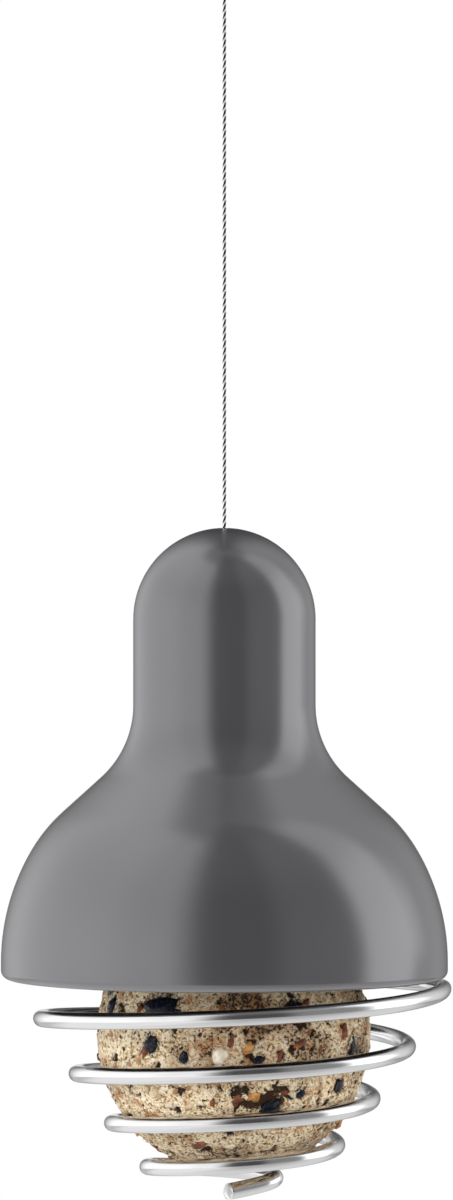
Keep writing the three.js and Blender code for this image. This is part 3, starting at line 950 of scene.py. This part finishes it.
def place_bit(verts, grown, spot, tilt, size, taper, jag, wires, chance):
    """Shapes a round bit into a seed or crumb and presses it into the ball, turned by tilt from level."""
    length, width, thickness = size
    outward = (spot - ball_centre).normalized()
    along = Matrix.Rotation(tilt, 3, outward) @ UP.cross(outward).normalized()
    turn = Matrix((along, outward.cross(along), outward)).transposed().to_4x4()
    depth, _ = crumble(outward)
    top = BIT_PROUD * thickness - depth
    _, _, away = wires.find(spot)
    if away - WIRE_RADIUS < length / 2:
        top = min(top, BIT_SUNK)
    rest = Matrix.Translation(spot + outward * (top - thickness / 2)) @ turn
    shape = Matrix.Diagonal((length, width, thickness, 1)) @ Matrix.Rotation(math.pi / 2, 4, "Y")
    luck = Vector([chance.uniform(-JAG_SPREAD, JAG_SPREAD) for _ in range(3)])
    for vert in verts:
        vert.co *= 1 + jag * noise.noise(vert.co * JAG_SCALE + luck)
        vert.co.x *= 1 - taper * vert.co.z
        vert.co.y *= 1 - taper * vert.co.z
        vert.co = shape @ vert.co
        vert[grown] = vert.co + luck * MM
        vert.co = rest @ vert.co


def press_bits(name, finish, placed, count, sizes, taper, jag, wires, taken, chance, front=False):
    """Bits of one kind: those placed on the front, and a count of others spread over the ball.

    The sizes are the least and greatest length in millimetres, then width and thickness as shares of it.
    """
    low, high, width, thickness = sizes
    bits = [(on_ball(x, z), math.radians(tilt), length * MM) for x, z, tilt, length in placed]
    for spot in spread_spots(count, chance, taken, front):
        bits.append((spot, chance.uniform(0, math.pi), chance.uniform(low, high) * MM))
    round_bit = bmesh.new()
    bmesh.ops.create_uvsphere(round_bit, u_segments=BIT_SIDES, v_segments=BIT_RINGS, radius=0.5)
    mesh = bpy.data.meshes.new("round_bit")
    round_bit.to_mesh(mesh)
    round_bit.free()
    bm = bmesh.new()
    for _ in bits:
        bm.from_mesh(mesh)
    grown = bm.verts.layers.float_vector.new("grown")
    verts = list(bm.verts)
    each = len(mesh.vertices)
    for i, (spot, tilt, length) in enumerate(bits):
        size = (length, length * width * chance.uniform(*BIT_WIDTHS), length * thickness)
        place_bit(verts[i * each:(i + 1) * each], grown, spot, tilt, size, taper, jag, wires, chance)
        taken.append((spot, length * BIT_ROOM))
    bpy.data.meshes.remove(mesh)
    bmesh.ops.recalc_face_normals(bm, faces=bm.faces)
    piece(name, bm, finish, "ball", "fat_and_seed")


def press_ball(finish, seeds):
    """Crumbly pressed fat, with lumps, crumbs and pits below its round, and a socket round each seed; pits
    and sockets carry painted shade.
    """
    bm = bmesh.new()
    bmesh.ops.create_icosphere(bm, subdivisions=BALL_DIVISIONS, radius=1)
    hollow = bm.verts.layers.float.new("hollow")
    sockets = point_tree([spot for spot, _ in seeds])
    for vert in bm.verts:
        _, i, away = sockets.find(ball_centre + vert.co * ball_radius)
        _, reach = seeds[i]
        socket = 1 - smooth_step(away, SOCKET_CORE * reach, reach + SOCKET_EDGE)
        depth, shade = crumble(vert.co)
        # The hollow value is painted shade, for the pits and for the socket round each seed.
        vert[hollow] = min(1, shade + SOCKET_SHADE * socket)
        vert.co = ball_centre + vert.co * (ball_radius - depth - SOCKET_DEPTH * socket)
    piece("fat_ball_crumb", bm, finish, "ball", "fat_and_seed", "fat_ball")


def fill_ball(wire):
    """The ball and all that is pressed into it."""
    taken = []
    chance = random.Random(RANDOM_SEED)
    press = functools.partial(press_bits, wires=point_tree(wire), taken=taken, chance=chance)
    press("sunflower_seeds", seed_shell(), FRONT_SEEDS, 34, (4, 7.5, 0.78, 0.34), taper=0.45, jag=0.45)
    seeds = list(taken)
    husk = bit_finish("red_brown_husk", (0.085, 0.022, 0.010, 1), (0.26, 0.085, 0.032, 1), 0.45)
    press("husk_bits", husk, FRONT_HUSKS, 50, (2, 4.5, 0.5, 0.3), taper=0.2, jag=0.7)
    maize = bit_finish("amber_maize", (0.38, 0.15, 0.035, 1), (0.62, 0.33, 0.11, 1), 0.4)
    press("maize_bits", maize, FRONT_MAIZE, 26, (2.2, 4, 0.75, 0.5), taper=0.2, jag=0.8)
    nut = bit_finish("pale_nut", (0.62, 0.52, 0.38, 1), (0.85, 0.78, 0.66, 1), 0.5)
    press("nut_bits", nut, FRONT_NUTS, 26, (1.8, 3.6, 0.7, 0.5), taper=0.1, jag=0.6)
    flake = bit_finish("tan_grain_flake", (0.42, 0.29, 0.15, 1), (0.68, 0.54, 0.36, 1), 0.55)
    press("grain_flakes", flake, [], 170, (1.2, 3.2, 0.65, 0.28), taper=0.1, jag=0.7, front=True)
    fleck = bit_finish("dark_bran_fleck", (0.02, 0.014, 0.011, 1), (0.10, 0.055, 0.03, 1), 0.6)
    press("bran_flecks", fleck, [], 330, (0.5, 1.3, 0.6, 0.6), taper=0.2, jag=0.7, front=True)
    press_ball(pressed_fat(), seeds)


def add_camera():
    data = bpy.data.cameras.new("camera")
    data.sensor_width = SENSOR
    data.lens = SENSOR * CAMERA_DISTANCE / VIEW_HEIGHT
    camera = bpy.data.objects.new("camera", data)
    camera.location = (CAMERA_RIGHT, -CAMERA_DISTANCE, apex_z - CAMERA_BELOW_APEX)
    camera.rotation_euler = (math.pi / 2, 0, 0)
    bpy.context.scene.collection.objects.link(camera)
    bpy.context.scene.camera = camera


def add_fill(name, azimuth, radiance):
    """A wide dim lamp, turned to the ball, that lights the object without showing in its gloss."""
    angle = math.radians(azimuth)
    data = bpy.data.lights.new(name, "AREA")
    data.shape = "SQUARE"
    data.size = FILL_SIZE
    data.energy = radiance * math.pi * FILL_SIZE * FILL_SIZE
    lamp = bpy.data.objects.new(name, data)
    lamp.location = (FILL_DISTANCE * math.sin(angle), -FILL_DISTANCE * math.cos(angle), FILL_LEVEL)
    inward = ball_centre - lamp.location
    lamp.rotation_euler = inward.to_track_quat("-Z", "Y").to_euler()
    lamp.visible_glossy = False
    lamp.visible_camera = False
    bpy.context.scene.collection.objects.link(lamp)


def panel(azimuth, start, full, fade, end, level):
    """A soft light panel of the studio, from its start to its end azimuth in degrees."""
    rise = azimuth.between(math.radians(start), math.radians(full))
    fall = azimuth.between(math.radians(fade), math.radians(end))
    return (rise - fall) * level


def add_room():
    """Soft panels to the left and right in a dim room, and a white backdrop."""
    world = bpy.data.worlds.new("studio")
    world.use_nodes = True
    bpy.context.scene.world = world
    nodes = Nodes(world.node_tree)
    seen = nodes.add("ShaderNodeLightPath", {}, {}, "Is Camera Ray")
    clear = nodes.add("ShaderNodeLightPath", {}, {}, "Is Transmission Ray")
    gloss = nodes.add("ShaderNodeLightPath", {}, {}, "Is Glossy Ray")
    heading = nodes.add("ShaderNodeTexCoord", {}, {}, "Generated")
    right = nodes.part(heading, "X")
    back = nodes.part(heading, "Y")
    height = nodes.part(heading, "Z")
    azimuth = right.maths("ARCTAN2", right, 0 - back)
    left_panel = panel(azimuth, -178, -130, -32, -8, 1.08)
    left_side = panel(azimuth, -178, -130, -70, -46, 0.18)
    right_glow = panel(azimuth, 22, 36, 140, 178, 0.2)
    right_panel = panel(azimuth, 68, 84, 132, 177, 0.53)
    right_strip = panel(azimuth, 73, 82, 108, 119, 0.99) * (1 - 0.6 * height.between(0.5, 0.8))
    low_band = height.between(-0.06, 0.04) - height.between(0.25, 0.6)
    right_low = panel(azimuth, 106, 118, 119, 130, 0.55) * low_band
    panels = left_panel + left_side + right_glow + right_panel + right_strip + right_low
    sides = panels * (1 - 0.08 * height.between(0.12, 0.5))
    room = sides * (1 - 0.7 * height.between(0.92, 0.985)) + height.between(0.5, 0.85) * 0.1 + 0.075
    backdrop = seen.larger(clear).larger(gloss * back.between(0.985, 0.997))
    shader = nodes.add("ShaderNodeBackground", {}, {"Color": grey(1), "Strength": room.larger(backdrop)})
    nodes.add("ShaderNodeOutputWorld", {}, {"Surface": shader})


def floor_finish():
    """Pale and matte, white in a mirror but with painted shade on its right and far side, clear from
    below, and fading into the backdrop at its edge.
    """
    material, nodes = new_finish("pale_floor")
    where = nodes.place()
    across = nodes.part(where, "X")
    depth = nodes.part(where, "Y")
    edge = nodes.reach(where).between(*FLOOR_FADE)
    seen = nodes.add("ShaderNodeLightPath", {}, {}, "Is Camera Ray")
    gloss = nodes.add("ShaderNodeLightPath", {}, {}, "Is Glossy Ray")
    below = nodes.add("ShaderNodeNewGeometry", {}, {}, "Backfacing")
    # Painted shade in the floor's mirror glow: on its right, strongest near the front, and far behind.
    right_level = (1 - depth.between(*SHADE_NEAR)) * SHADE_NEAR_LEVEL + SHADE_RIGHT_LEVEL
    shade = across.between(*SHADE_RIGHT) * right_level + depth.between(*SHADE_FAR) * SHADE_FAR_LEVEL
    whiteness = gloss.larger(seen * (edge * (1 - FLOOR_WHITE) + FLOOR_WHITE))
    matte = nodes.add("ShaderNodeBsdfDiffuse", {}, {"Color": grey(FLOOR_GREY)})
    bright = nodes.add("ShaderNodeEmission", {}, {"Color": grey(1), "Strength": 1 - shade * gloss})
    top = nodes.add("ShaderNodeMixShader", {}, {0: whiteness, 1: matte, 2: bright})
    clear = nodes.add("ShaderNodeBsdfTransparent", {}, {})
    shader = nodes.add("ShaderNodeMixShader", {}, {0: below, 1: top, 2: clear})
    nodes.add("ShaderNodeOutputMaterial", {}, {"Surface": shader})
    material.cycles.emission_sampling = "NONE"
    return material


def lay_floor():
    bm = bmesh.new()
    level = Matrix.Translation(UP * (cad_box[0].z - FLOOR_BELOW))
    bmesh.ops.create_circle(bm, cap_ends=True, segments=FLOOR_SIDES, radius=FLOOR_RADIUS, matrix=level)
    mesh = bpy.data.meshes.new("floor")
    bm.to_mesh(mesh)
    bm.free()
    mesh.materials.append(floor_finish())
    floor = bpy.data.objects.new("floor", mesh)
    bpy.context.scene.collection.objects.link(floor)


bpy.context.scene.view_settings.view_transform = "Standard"
add_camera()
rope_finish = rope_steel()
sleeve_finish = crimped_aluminium()
foot_sleeve = crimp_ferrule("foot_ferrule", FOOT_LOOP_SIDE, "rope", sleeve_finish)
top_sleeve = crimp_ferrule("top_ferrule", TOP_LOOP_SIDE, "hook_loop", sleeve_finish)
lay_rope("hanging_rope", hanging_rope_route(), rope_finish, "rope")
lay_rope("top_loop", top_loop_route(), rope_finish, "hook_loop")

wire = wire_route()
wind_coil(wire, drawn_steel())
throw_bell(satin_glaze())
press_washer(turned_steel())
fill_ball(wire)

for fill in FILLS:
    add_fill(*fill)
add_room()
lay_floor()
